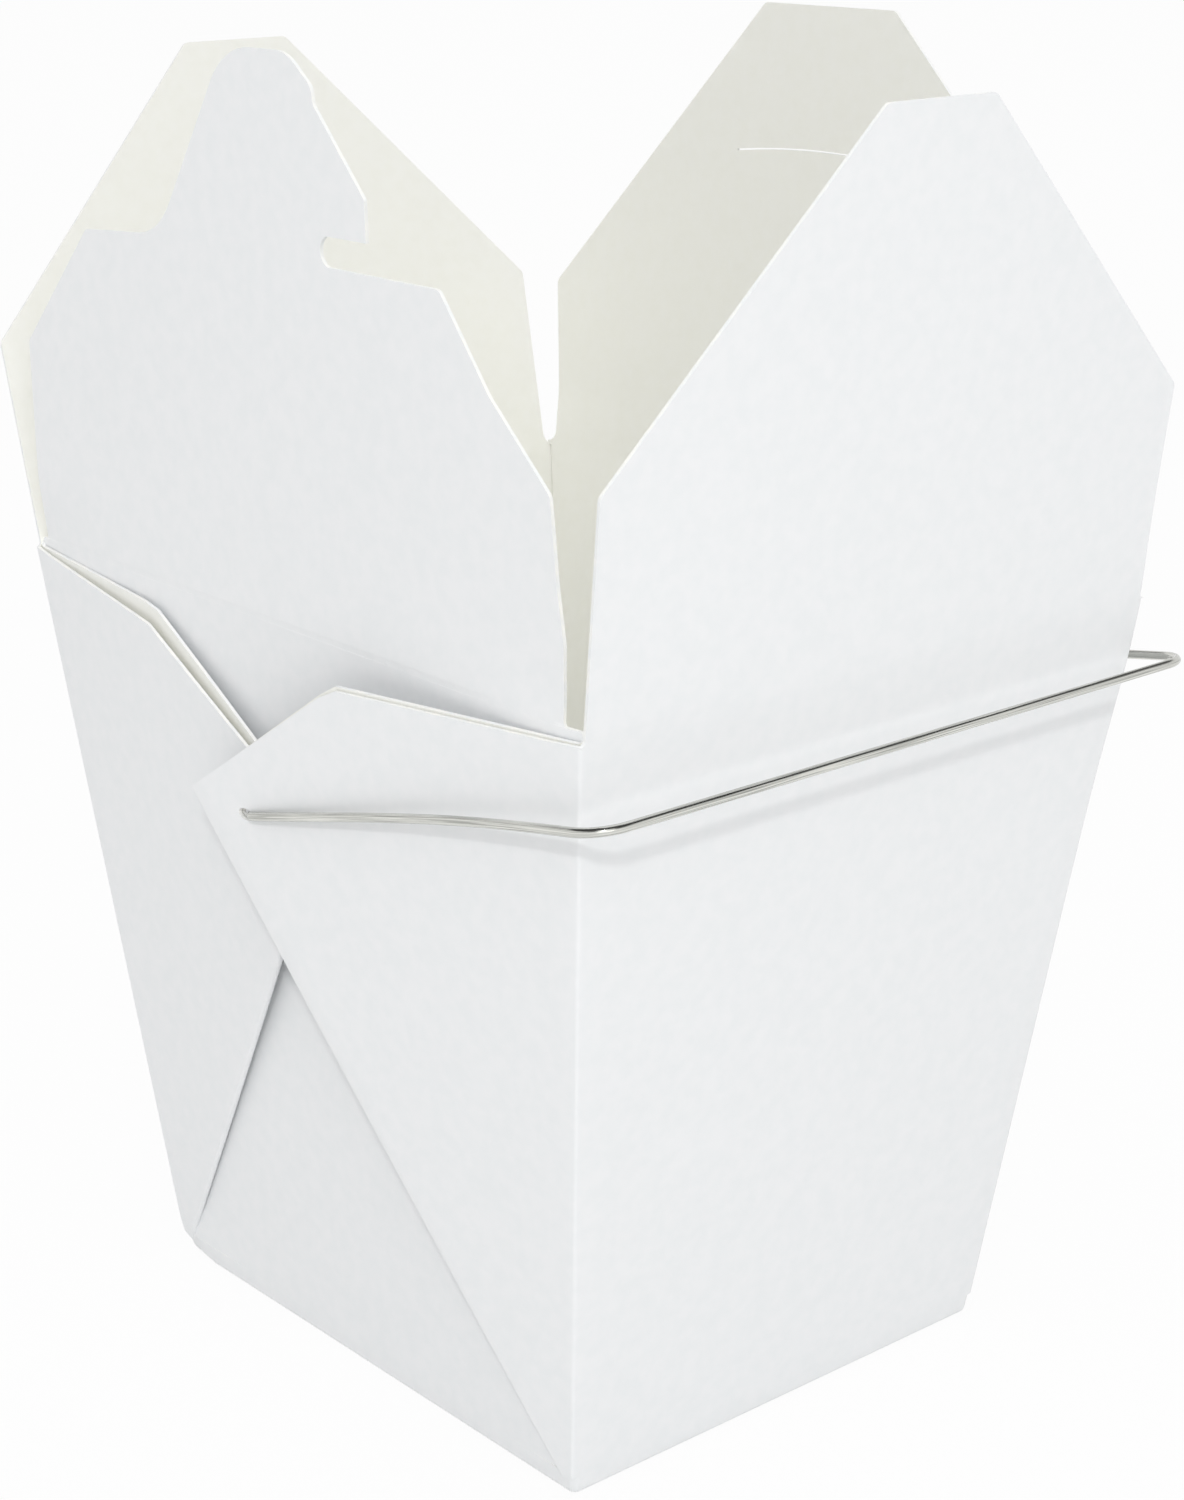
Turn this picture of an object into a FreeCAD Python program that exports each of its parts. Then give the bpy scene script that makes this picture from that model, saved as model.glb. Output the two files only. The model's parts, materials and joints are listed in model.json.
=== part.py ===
import FreeCAD, Part
import math
import os

import Sketcher
from FreeCAD import Placement, Rotation, Vector

# A one-quart takeout food box, in millimetres. One sheet of coated paperboard is folded into
# a flared box: a base, four walls and a folded web at each corner, which lies over the end wall.
# Four flaps stand on score lines round the rim, and a steel wire bail passes through the webs.
# The origin is the middle of the base on the surface it stands on, +Z is up, the plain walls
# face -Y and +Y, and the walls with the webs face -X and +X.

SIZES = [
    ("board", 0.45, "thickness of the paperboard"),
    ("base_width", 74.0, "base, along X"),
    ("base_length", 90.0, "base, along Y"),
    ("rim_width", 94.2, "rim at the end flaps' score, along X"),
    ("rim_length", 120.8, "rim at the end flaps' score, along Y"),
    ("rim_height", 108.5, "height of the end flaps' score"),
    ("plain_score_drop", 1.2, "how far the plain flaps' score is below the end flaps' score"),
    ("score_clearance", 0.2, "air between a wall's top and the flap that turns above it"),
    ("ply_opening", 1.7, "degrees by which a web's two plies stand open"),
    ("front_web_lift", 7.0, "degrees by which a front web stands off the end wall"),
    ("front_web_overlap", 11.5, "how far a front web's point passes the middle of the end wall"),
    ("front_web_point_drop", 31.2, "its point, down the corner edge from the score"),
    ("front_web_shoulder_reach", 41.2, "its shoulder, out from the corner edge"),
    ("front_web_shoulder_drop", 7.7, "its shoulder, down the corner edge from the score"),
    ("back_web_lift", 3.2, "degrees by which a back web stands off the end wall"),
    ("back_web_overlap", 9.6, "how far a back web's point passes the middle of the end wall"),
    ("back_web_point_drop", 33.1, "its point, down the corner edge from the score"),
    ("back_web_shoulder_reach", 31.1, "its shoulder, out from the corner edge"),
    ("back_web_shoulder_drop", 8.9, "its shoulder, down the corner edge from the score"),
    ("plain_flap_side_gap", 0.35, "from a plain flap's side to the end wall's inner face"),
    ("plain_flap_shoulder", 28.3, "height of a plain flap's shoulder above its score"),
    ("plain_flap_length", 67.3, "a plain flap from score to tip"),
    ("plain_flap_tip", 17.8, "width of a plain flap's straight tip"),
    ("front_flap_lean", 6.1, "degrees outward from upright"),
    ("back_flap_lean", 13.7, "degrees outward from upright"),
    ("end_flap_side_gap", 1.9, "from an end flap's side to the plain wall's inner face"),
    ("tongue_flap_taper", 1.5, "how much nearer the middle the tongue flap's shoulder is"),
    ("slot_flap_flare", 1.0, "how much further out the slot flap's shoulder is"),
    ("end_flap_shoulder", 27.4, "height of an end flap's shoulder above its score"),
    ("end_flap_lean", 1.0, "degrees outward from upright"),
    ("slot_flap_length", 70.9, "slot flap from score to tip"),
    ("slot_flap_tip", 25.8, "width of the slot flap's straight tip"),
    ("slot_height", 49.3, "lock slot above the score, at its ends"),
    ("slot_length", 34.0, "lock slot between its ends"),
    ("slot_rise", 1.0, "how much higher the lock slot's middle is"),
    ("slot_rounding", 115.6, "radius of the lock slot's middle"),
    ("slot_width", 0.8, "width of the lock slot"),
    ("tongue_flap_length", 71.6, "tongue flap from score to the tongue's tip"),
    ("tongue_base_height", 47.2, "tongue flap's straight top beside the tongue"),
    ("tongue_flap_top", 76.5, "width of the tongue flap's straight top"),
    ("tongue_tip", 12.4, "width of the tongue's tip before it is rounded"),
    ("tongue_tip_shift", 5.1, "tongue's tip from the middle, to the notch's side"),
    ("tongue_neck", 20.6, "tongue's sloping side at the straight top, from the middle"),
    ("tongue_notch_end", 15.2, "inner end of the locking notch, from the middle"),
    ("tongue_notch_width", 3.3, "height of the locking notch"),
    ("tongue_notch_rounding", 1.584, "radius of the notch's inner corners"),
    ("tongue_hook", 23.7, "tip of the hook above the notch, from the middle"),
    ("tongue_hook_height", 3.8, "height of the hook's straight side"),
    ("tongue_rounding", 5.5, "radius of the tongue's tip"),
    ("tongue_sweep", 11.0, "radius of the curve where the tongue's slope meets the top"),
    ("flap_rounding", 2.0, "radius of the flaps' other corners"),
    ("wire", 1.2, "diameter of the bail's wire"),
    ("wire_hole_clearance", 0.25, "air round the wire in its holes"),
    ("bail_drop", 24.5, "from the end flaps' score down to the bail's pivot"),
    ("bail_front_room", 6.17, "air between the front wall and the middle of the bail"),
    ("bail_lean", 12.6, "degrees by which the arms rise from level"),
    ("bail_side_room", 2.4, "how far the bail's bends stand outside the rim"),
    ("bail_stand_off", 0.35, "air between an arm and the web beside the hole"),
    ("bail_bend", 4.5, "radius of the bends between the arms and the middle"),
    ("hook_bend", 1.5, "radius of the bends at the holes"),
    ("hook_length", 6.0, "end of the wire clinched inside the box"),
    ("hook_clearance", 0.6, "air between the clinched end and the end wall"),
]

# Places that follow from the sizes, each a formula on the sheet or on a place before it.
PLACES = [
    ("bail_height", "sizes.rim_height - sizes.bail_drop"),
    ("end_lean", "atan((sizes.rim_width - sizes.base_width) / 2 / sizes.rim_height)"),
    ("plain_lean", "atan((sizes.rim_length - sizes.base_length) / 2 / sizes.rim_height)"),
    ("plain_score", "sizes.rim_height - sizes.plain_score_drop"),
    ("score_room", "sizes.board / 2 + sizes.score_clearance"),
    ("end_face", "sizes.rim_width / 2 - sizes.board / cos(places.end_lean)"),
    ("plain_face", "sizes.rim_length / 2 - sizes.board / cos(places.plain_lean)"),
    ("floor_width", "places.end_face - (sizes.rim_height - sizes.board) * tan(places.end_lean)"),
    ("floor_length", "places.plain_face - (sizes.rim_height - sizes.board) * tan(places.plain_lean)"),
    ("plain_trim", "places.score_room + sizes.plain_score_drop"),
    ("plain_trim_face", "places.plain_face - places.plain_trim * tan(places.plain_lean)"),
    ("end_hinge", "sizes.rim_width / 2 - sizes.board / 2"),
    ("plain_hinge",
     "(sizes.rim_length - sizes.board) / 2 - sizes.plain_score_drop * tan(places.plain_lean)"),
    ("plain_flap_half", "places.end_face - sizes.plain_flap_side_gap"),
    ("end_flap_half", "places.plain_face - sizes.end_flap_side_gap"),
    ("notch_top", "sizes.tongue_base_height + sizes.tongue_notch_width"),
    ("end_wall_at_bail", "sizes.base_width / 2 + places.bail_height * tan(places.end_lean)"),
    ("web_run",
     "(sizes.base_length / 2 + places.bail_height * tan(places.plain_lean)) / cos(places.end_lean)"
     " / (sqrt(1 + tan(places.end_lean) ^ 2 + tan(places.plain_lean) ^ 2)"
     " - tan(places.end_lean) * tan(places.plain_lean) * tan(sizes.front_web_lift))"),
    ("web_face",
     "places.end_wall_at_bail"
     " + places.web_run * tan(sizes.front_web_lift) / cos(places.end_lean)"),
    ("bail_arm",
     "(sizes.base_length / 2 + places.bail_height * tan(places.plain_lean)"
     " + sizes.bail_front_room + sizes.wire / 2)"
     " / (cos(sizes.bail_lean) - sin(sizes.bail_lean) * tan(places.plain_lean))"),
    ("arm_root", "places.web_face + sizes.bail_stand_off + sizes.wire / 2"),
    ("arm_tip", "sizes.rim_width / 2 + sizes.bail_side_room"),
    ("hook_place",
     "places.end_wall_at_bail - sizes.board / cos(places.end_lean)"
     " - sizes.hook_clearance - sizes.wire / 2"),
]

document = FreeCAD.newDocument("takeout_food_box")


def write_sizes():
    """The sheet of sizes, one row for each, and the places worked out from it."""
    sheet = document.addObject("Spreadsheet::Sheet", "sizes")
    for row, (name, value, meaning) in enumerate(SIZES, start=1):
        sheet.set("A%d" % row, name)
        sheet.set("B%d" % row, str(value))
        sheet.setAlias("B%d" % row, name)
        sheet.set("C%d" % row, meaning)
    places = document.addObject("App::VarSet", "places")
    document.recompute()
    for name, formula in PLACES:
        places.addProperty("App::PropertyFloat", name, "Places")
        places.setExpression(name, formula)
    document.recompute()
    return sheet, places


sizes, places = write_sizes()


def new_body(name):
    """An empty body whose label is the name of its piece."""
    body = document.addObject("PartDesign::Body", name)
    body.Label = name
    return body


def new_sketch(body, name, role="XY_Plane", offset=None):
    """A sketch on one of the body's own planes, moved along its normal by a formula."""
    sketch = body.newObject("Sketcher::SketchObject", name)
    plane = next(item for item in body.Origin.OriginFeatures if item.Role == role)
    sketch.AttachmentSupport = [(plane, "")]
    sketch.MapMode = "FlatFace"
    if offset:
        sketch.setExpression("AttachmentOffset.Base.z", offset)
    return sketch


def constrain(sketch, formula, *terms):
    """A dimension of a sketch that follows a formula."""
    number = sketch.addConstraint(Sketcher.Constraint(*terms))
    sketch.setExpression("Constraints[%d]" % number, formula)


def set_out(sketch, corners):
    """Construction points at the corners, which hold the outline in place."""
    marks = []
    for across, up, _ in corners:
        mark = sketch.addGeometry(Part.Point(Vector(0, 0, 0)), True)
        constrain(sketch, across, "DistanceX", -1, 1, mark, 1, 0.0)
        constrain(sketch, up, "DistanceY", -1, 1, mark, 1, 0.0)
        marks.append(mark)
    document.recompute()
    return marks, [Vector(sketch.Geometry[mark].X, sketch.Geometry[mark].Y, 0) for mark in marks]


def corner_arc(before, corner, after, radius):
    """The arc that rounds a corner, with the ends it shares with the lines before and after."""
    back = (before - corner).normalize()
    ahead = (after - corner).normalize()
    half = back.getAngle(ahead) / 2
    reach = radius / math.tan(half)
    centre = corner + (back + ahead).normalize() * (radius / math.sin(half))
    first = corner + back * reach
    last = corner + ahead * reach
    left_turn = back.cross(ahead).z < 0
    start, end = (first, last) if left_turn else (last, first)
    angles = [math.atan2(place.y - centre.y, place.x - centre.x) for place in (start, end)]
    arc = Part.ArcOfCircle(Part.Circle(centre, Vector(0, 0, 1), radius), *angles)
    return arc, first, last, left_turn


def draw(sketch, corners, closed=True):
    """Straight lines between corners (across, up, radius), each corner sharp or rounded."""
    marks, spots = set_out(sketch, corners)
    count = len(corners)
    arcs = {}
    for index, (_, _, radius) in enumerate(corners):
        if radius:
            holder, name = radius.split(".")
            size = float(getattr(document.getObject(holder), name))
            around = (spots[index - 1], spots[index], spots[(index + 1) % count])
            arc, first, last, left_turn = corner_arc(*around, size)
            number = sketch.addGeometry(arc)
            constrain(sketch, radius, "Radius", number, size)
            arcs[index] = (number, first, last, left_turn)
    for index in range(count if closed else count - 1):
        after = (index + 1) % count
        start = arcs[index][2] if index in arcs else spots[index]
        end = arcs[after][1] if after in arcs else spots[after]
        line = sketch.addGeometry(Part.LineSegment(start, end))
        for position, place in ((1, index), (2, after)):
            if place in arcs:
                number, _, _, left_turn = arcs[place]
                arc_end = 2 if (position == 1) == left_turn else 1
                sketch.addConstraint(Sketcher.Constraint("Tangent", line, position, number, arc_end))
                sketch.addConstraint(Sketcher.Constraint("PointOnObject", marks[place], 1, line))
            else:
                sketch.addConstraint(Sketcher.Constraint("Coincident", line, position, marks[place], 1))


def draw_rectangle(sketch, half_width, half_length):
    """A rectangle centred on the sketch's origin, from formulas for half its sides."""
    draw(sketch, [("-(%s)" % half_width, "-(%s)" % half_length, None),
                  (half_width, "-(%s)" % half_length, None),
                  (half_width, half_length, None),
                  ("-(%s)" % half_width, half_length, None)])


def wedge(body, kind, name, low, high, half_sizes):
    """A flared block that stands on the floor, added to a body or taken from it."""
    block = body.newObject("PartDesign::" + kind, name)
    plane = next(item for item in body.Origin.OriginFeatures if item.Role == "XZ_Plane")
    block.AttachmentSupport = [(plane, "")]
    block.MapMode = "FlatFace"
    block.setExpression("Ymin", low)
    block.setExpression("Ymax", high)
    for axis, formula in zip(("X", "Z", "X2", "Z2"), half_sizes):
        block.setExpression(axis + "min", "-(%s)" % formula)
        block.setExpression(axis + "max", formula)
    document.recompute()


def trim(body, name, outlines, depth):
    """Takes the tops off walls, from the rim down, inside or between rectangles."""
    sketch = new_sketch(body, name, offset="sizes.rim_height")
    for half_width, half_length in outlines:
        draw_rectangle(sketch, half_width, half_length)
    cut = body.newObject("PartDesign::Pocket", name + "_cut")
    cut.Profile = sketch
    cut.setExpression("Length", depth)
    document.recompute()


def box_shell():
    """The base and the four walls, each ending just under its flap's score line."""
    body = new_body("box_shell")
    wedge(body, "AdditiveWedge", "outside", "0", "sizes.rim_height",
          ("sizes.base_width / 2", "sizes.base_length / 2",
           "sizes.rim_width / 2", "sizes.rim_length / 2"))
    wedge(body, "SubtractiveWedge", "inside", "sizes.board", "sizes.rim_height",
          ("places.floor_width", "places.floor_length", "places.end_face", "places.plain_face"))
    trim(body, "all_walls", [("sizes.rim_width", "sizes.rim_length")], "places.score_room")
    trim(body, "plain_walls",
         [("sizes.rim_width * 2", "sizes.rim_length"), ("sizes.rim_width", "places.plain_trim_face")],
         "places.plain_trim")
    return body


def web(end, side, which):
    """A corner web: two plies that leave the corner edge and meet in a diagonal fold.

    end is -1 or 1 for the end wall, side is -1 or 1 for the plain wall that it comes from.
    The web is a wedge between its outer face and its inner face, with the air between the
    plies taken out of it.
    """
    lift, overlap, point_drop, shoulder_reach, shoulder_drop = (
        sizes.get("%s_web_%s" % (which, item))
        for item in ("lift", "overlap", "point_drop", "shoulder_reach", "shoulder_drop"))
    thick = sizes.board
    foot = Vector(end * sizes.base_width / 2, side * sizes.base_length / 2, 0)
    top = Vector(end * sizes.rim_width / 2, side * sizes.rim_length / 2, sizes.rim_height)
    edge = (top - foot).normalize()
    flare = (sizes.rim_width - sizes.base_width) / 2
    outward = Vector(end * sizes.rim_height, 0, -flare).normalize()
    inward = outward.cross(edge) * (end * side)
    length = (top - foot).Length
    score = length * places.plain_score / sizes.rim_height

    def block(outline, angle, sink):
        """A thick block under a ply's plane, which turns about the corner edge."""
        turn = math.radians(angle)
        across = inward * math.cos(turn) + outward * math.sin(turn)
        face = outward * math.cos(turn) - inward * math.sin(turn)
        spots = [foot + across * reach + edge * along - face * sink for reach, along in outline]
        return Part.Face(Part.makePolygon(spots + spots[:1])).extrude(face * -length)

    turn = math.radians(lift)
    across = inward * math.cos(turn) + outward * math.sin(turn)
    point_along = score - point_drop
    middle = -(foot.y + point_along * edge.y) / across.y
    fold_start = 2 * thick
    shoulder = (shoulder_reach, score - shoulder_drop)
    point = (middle + overlap, point_along)
    outline = [(0, fold_start), (0, score - places.score_room - thick), shoulder, point]
    beyond = 2 * length
    everywhere = [(-length, -length), (-length, beyond), (beyond, beyond), (beyond, -length)]
    slope = (point_along - fold_start) / point[0]
    inset = fold_start + thick * math.hypot(1, slope)
    between = [(0, inset), (0, beyond + inset), (length, inset + slope * length)]
    under = lift - sizes.ply_opening
    wedge_block = block(outline, lift, 0).cut(block(everywhere, under, thick))
    air = block(between, lift, thick).cut(block(everywhere, under, 0))
    return wedge_block.cut(air)


def corner_webs():
    """The webs at the four corners. A front web lies over the back web on each end wall."""
    webs = []
    for end, wall in ((-1, "left"), (1, "right")):
        for side, which in ((-1, "front"), (1, "back")):
            feature = document.addObject("Part::Feature", "%s_%s_web" % (which, wall))
            feature.Shape = web(end, side, which)
            webs.append(feature)
    return webs


def carton():
    """The folded sheet in one piece, with the holes that the wire passes through."""
    joined = document.addObject("Part::MultiFuse", "folded_sheet")
    joined.Shapes = [box_shell(), *corner_webs()]
    hole = document.addObject("Part::Cylinder", "wire_holes")
    hole.setExpression("Radius", "sizes.wire / 2 + sizes.wire_hole_clearance")
    hole.setExpression("Height", "sizes.rim_width * 2")
    hole.Placement = Placement(Vector(0, 0, 0), Rotation(Vector(0, 1, 0), 90))
    hole.setExpression("Placement.Base.x", "-sizes.rim_width")
    hole.setExpression("Placement.Base.z", "places.bail_height")
    cut = document.addObject("Part::Cut", "carton")
    cut.Label = "carton"
    cut.Base = joined
    cut.Tool = hole
    return cut


def flap(name, outline, lean, heading, base, slot=None):
    """A flap drawn flat from its score line up, leaned outward and turned to its wall."""
    body = new_body(name)
    sketch = new_sketch(body, name + "_outline", "XZ_Plane")
    sketch.AttachmentOffset = Placement(Vector(0, 0, 0), Rotation(Vector(1, 0, 0), 1))
    sketch.setExpression("AttachmentOffset.Rotation.Angle", lean)
    draw(sketch, outline)
    if slot:
        draw(sketch, slot)
    pad = body.newObject("PartDesign::Pad", name + "_board")
    pad.Profile = sketch
    pad.SideType = "Symmetric"
    pad.setExpression("Length", "sizes.board")
    body.Placement = Placement(Vector(0, 0, 0), Rotation(Vector(0, 0, 1), heading))
    for axis, formula in zip("xyz", base):
        body.setExpression("Placement.Base." + axis, formula)
    document.recompute()
    return body


def mirrored(half_outline):
    """An outline from its right half, given from the score line up to the tip."""
    left = [("-(%s)" % across, up, radius) for across, up, radius in reversed(half_outline)]
    return half_outline + left


def plain_flaps():
    """The two flaps on the plain walls. They fold in first."""
    outline = mirrored([
        ("places.plain_flap_half", "0", None),
        ("places.plain_flap_half", "sizes.plain_flap_shoulder", "sizes.flap_rounding"),
        ("sizes.plain_flap_tip / 2", "sizes.plain_flap_length", "sizes.flap_rounding")])
    front = flap("front_flap", outline, "sizes.front_flap_lean", 0,
                 ("0", "-places.plain_hinge", "places.plain_score"))
    back = flap("back_flap", outline, "sizes.back_flap_lean", 180,
                ("0", "places.plain_hinge", "places.plain_score"))
    return [front, back]


def slot_flap():
    """The end flap with the curved slot that takes the tongue."""
    outline = mirrored([
        ("places.end_flap_half", "0", None),
        ("places.end_flap_half + sizes.slot_flap_flare", "sizes.end_flap_shoulder",
         "sizes.flap_rounding"),
        ("sizes.slot_flap_tip / 2", "sizes.slot_flap_length", "sizes.flap_rounding")])
    half, low, bow = "sizes.slot_length / 2", "sizes.slot_height", "sizes.slot_rounding"
    slot = [("-" + half, low, None),
            ("0", low + " + 2 * sizes.slot_rise", bow),
            (half, low, None),
            (half, low + " + sizes.slot_width", None),
            ("0", low + " + 2 * sizes.slot_rise + sizes.slot_width", bow),
            ("-" + half, low + " + sizes.slot_width", None)]
    return flap("slot_flap", outline, "sizes.end_flap_lean", 90,
                ("places.end_hinge", "0", "sizes.rim_height"), slot)


def tongue_flap():
    """The end flap whose tongue locks in the slot, with its notch towards the front."""
    base, notch_top, soft = "sizes.tongue_base_height", "places.notch_top", "sizes.flap_rounding"
    shoulder = ("places.end_flap_half - sizes.tongue_flap_taper", "sizes.end_flap_shoulder", soft)
    notch_round, tip_round = "sizes.tongue_notch_rounding", "sizes.tongue_rounding"
    outline = [
        ("-places.end_flap_half", "0", None),
        ("places.end_flap_half", "0", None),
        shoulder,
        ("sizes.tongue_flap_top / 2", base, soft),
        ("sizes.tongue_notch_end", base, notch_round),
        ("sizes.tongue_notch_end", notch_top, notch_round),
        ("sizes.tongue_hook", notch_top, None),
        ("sizes.tongue_hook", notch_top + " + sizes.tongue_hook_height", soft),
        ("sizes.tongue_tip_shift + sizes.tongue_tip / 2", "sizes.tongue_flap_length", tip_round),
        ("sizes.tongue_tip_shift - sizes.tongue_tip / 2", "sizes.tongue_flap_length", tip_round),
        ("-sizes.tongue_neck", base, "sizes.tongue_sweep"),
        ("-sizes.tongue_flap_top / 2", base, soft),
        ("-(%s)" % shoulder[0], shoulder[1], soft)]
    return flap("tongue_flap", outline, "sizes.end_flap_lean", -90,
                ("-places.end_hinge", "0", "sizes.rim_height"))


def wire_handle():
    """The bail: one wire whose arms pivot in the webs and whose ends are clinched inside."""
    body = new_body("wire_handle")
    half = [("places.hook_place", "sizes.hook_length", None),
            ("places.hook_place", "0", "sizes.hook_bend"),
            ("places.arm_root", "0", "sizes.hook_bend"),
            ("places.arm_tip", "-places.bail_arm", "sizes.bail_bend")]
    path = new_sketch(body, "wire_path")
    draw(path, mirrored(half), closed=False)
    end = new_sketch(body, "wire_section", "XZ_Plane", "-sizes.hook_length")
    start = Vector(places.hook_place, 0, 0)
    circle = end.addGeometry(Part.Circle(start, Vector(0, 0, 1), sizes.wire / 2))
    constrain(end, "places.hook_place", "DistanceX", -1, 1, circle, 3, places.hook_place)
    end.addConstraint(Sketcher.Constraint("PointOnObject", circle, 3, -1))
    constrain(end, "sizes.wire", "Diameter", circle, sizes.wire)
    pipe = body.newObject("PartDesign::AdditivePipe", "wire")
    pipe.Profile = end
    pipe.Spine = (path, [])
    body.Placement = Placement(Vector(0, 0, 0), Rotation(Vector(-1, 0, 0), 1))
    body.setExpression("Placement.Base.z", "places.bail_height")
    body.setExpression("Placement.Rotation.Angle", "sizes.bail_lean")
    document.recompute()
    return body


def check(pieces):
    """Stops at a failed object or a piece without one sound solid."""
    failed = [item.Name for item in document.Objects
              if "Invalid" in item.State or "Error" in item.State]
    if failed:
        raise RuntimeError("failed: " + ", ".join(failed))
    for piece in pieces:
        shape = piece.Shape
        if shape.isNull() or not shape.isValid() or len(shape.Solids) != 1:
            raise RuntimeError("not one sound solid: " + piece.Label)


pieces = [carton(), *plain_flaps(), tongue_flap(), slot_flap(), wire_handle()]
document.recompute()
check(pieces)
os.makedirs("parts", exist_ok=True)
for piece in pieces:
    piece.Shape.exportStep("parts/%s.step" % piece.Label)
    print(piece.Label, round(piece.Shape.Volume, 1), piece.Shape.BoundBox)
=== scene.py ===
import json
import math

import bpy
import numpy as np
from bpy.props import FloatProperty, FloatVectorProperty, PointerProperty
from mathutils import Matrix, Vector
from mathutils.geometry import delaunay_2d_cdt


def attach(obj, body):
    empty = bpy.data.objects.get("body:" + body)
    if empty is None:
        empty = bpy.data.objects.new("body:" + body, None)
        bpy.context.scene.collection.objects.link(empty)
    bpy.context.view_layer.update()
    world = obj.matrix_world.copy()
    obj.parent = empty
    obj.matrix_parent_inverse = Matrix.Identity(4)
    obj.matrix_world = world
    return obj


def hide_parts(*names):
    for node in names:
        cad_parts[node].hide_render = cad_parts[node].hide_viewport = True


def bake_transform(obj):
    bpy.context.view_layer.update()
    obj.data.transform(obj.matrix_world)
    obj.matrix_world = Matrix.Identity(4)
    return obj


# A one-quart takeout food box: one sheet of coated paperboard folded into a flared box with a
# double-ply web at each corner, four open top flaps and a steel wire bail.
# Lengths are metres. +Z is up, the plain walls face -Y and +Y, the ends with webs face -X and +X.

bl_info = {
    "name": "Takeout food box",
    "version": (1, 0, 0),
    "blender": (4, 5, 0),
    "location": "View3D > Sidebar > Food Box",
    "description": "Folds a paperboard food box with a wire bail around its packed frame",
    "category": "Object",
}

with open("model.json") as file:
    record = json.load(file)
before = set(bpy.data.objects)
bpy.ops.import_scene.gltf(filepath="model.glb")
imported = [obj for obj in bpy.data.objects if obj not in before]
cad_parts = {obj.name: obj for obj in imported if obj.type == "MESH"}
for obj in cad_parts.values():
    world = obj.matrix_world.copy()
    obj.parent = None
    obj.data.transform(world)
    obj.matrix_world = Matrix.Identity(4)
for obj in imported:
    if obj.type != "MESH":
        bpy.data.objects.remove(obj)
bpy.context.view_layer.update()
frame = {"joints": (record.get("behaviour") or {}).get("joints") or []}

MM = 0.001
JOINTS = {joint["name"]: joint for joint in frame["joints"]}
SHARP_ANGLE = math.radians(32)
OUTSIDE, INSIDE, CUT_EDGE = range(3)
# The corners as signs of X and Y, in the order in which a row of points goes round the box.
ROUND = ((1, -1), (1, 1), (-1, 1), (-1, -1))
# A mix node's sockets for two colours and for the colour it gives.
FIRST_COLOUR, SECOND_COLOUR, MIXED_COLOUR = 6, 7, 2
WHITE = (1, 1, 1, 1)
# Share of a slit's width that its round bottom takes, so that the arc ends on the bottom.
SLIT_FILL = 0.98


def hinge(name):
    """Where a joint's axis lies."""
    return np.array(JOINTS[name]["pos_m"], float)


def linear(hex_colour):
    """An sRGB hex colour as linear red, green and blue."""
    parts = [int(hex_colour[i:i + 2], 16) / 255 for i in (1, 3, 5)]
    return [c / 12.92 if c <= 0.04045 else ((c + 0.055) / 1.055) ** 2.4 for c in parts]


def length(name, millimetres, description):
    """A length that a user can change, given in millimetres."""
    return FloatProperty(name=name, description=description, default=millimetres * MM,
                         unit="LENGTH", precision=5)


def lengths(name, millimetres, description):
    """Lengths that belong together, given in millimetres."""
    return FloatVectorProperty(name=name, description=description, size=len(millimetres),
                               default=[each * MM for each in millimetres], unit="LENGTH",
                               precision=5)


def angle(name, degrees, description):
    """An angle that a user can change, given in degrees."""
    return FloatProperty(name=name, description=description, default=math.radians(degrees),
                         unit="ROTATION")


def number(name, default, description, unit="NONE"):
    """A plain number or a power that a user can change."""
    return FloatProperty(name=name, description=description, default=default, unit=unit)


def colour(name, hex_colour, description):
    """A colour that a user can change, given in sRGB."""
    return FloatVectorProperty(name=name, description=description, default=linear(hex_colour),
                               subtype="COLOR", size=3, min=0, max=1)


class CartonSizes(bpy.types.PropertyGroup):
    """The folded sheet: base, walls and corner webs."""

    board: length("Board", 0.45, "Thickness of the paperboard")
    base_width: length("Base width", 74, "Base along X")
    base_length: length("Base length", 90, "Base along Y")
    rim_width: length("Rim width", 94.2, "Rim along X at the end flaps' score")
    rim_length: length("Rim length", 120.8, "Rim along Y at the end flaps' score")
    fold_radius: length("Fold radius", 0.3, "Middle of the board round a fold")
    base_fold: length("Base fold radius", 0.7, "Middle of the board round the base's folds")
    base_rounding: length("Base rounding", 0.8, "Radius of the base's corners")
    crown: length("Crown", 0.3, "How far the base arches up in its middle")
    ply_radius: length("Ply fold radius", 0.3, "Middle of the board round a flat fold")
    score_half: length("Half score", 0.5, "Half of the crease where a flap turns")
    groove: length("Groove", 0.05, "Depth of a score line's groove")
    back_left: lengths("Back left", (1.8, 0.9), "Base corner moved outward and forward")
    front_right_in: length("Front right in", 1.1, "Front right base corner moved inward")
    bulge: length("Bulge", 0.95, "Front right corner pushed outward below the rim")
    bulge_height: length("Bulge height", 100, "Height of that bulge")
    bulge_spread: length("Bulge spread", 14, "Its reach up and down")
    bulge_width: length("Bulge width", 20, "Its reach from the corner")
    crush: length("Crush", 0.6, "Dent in the back left base corner")
    crush_reach: length("Crush reach", 2.5, "Size of that dent")


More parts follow.
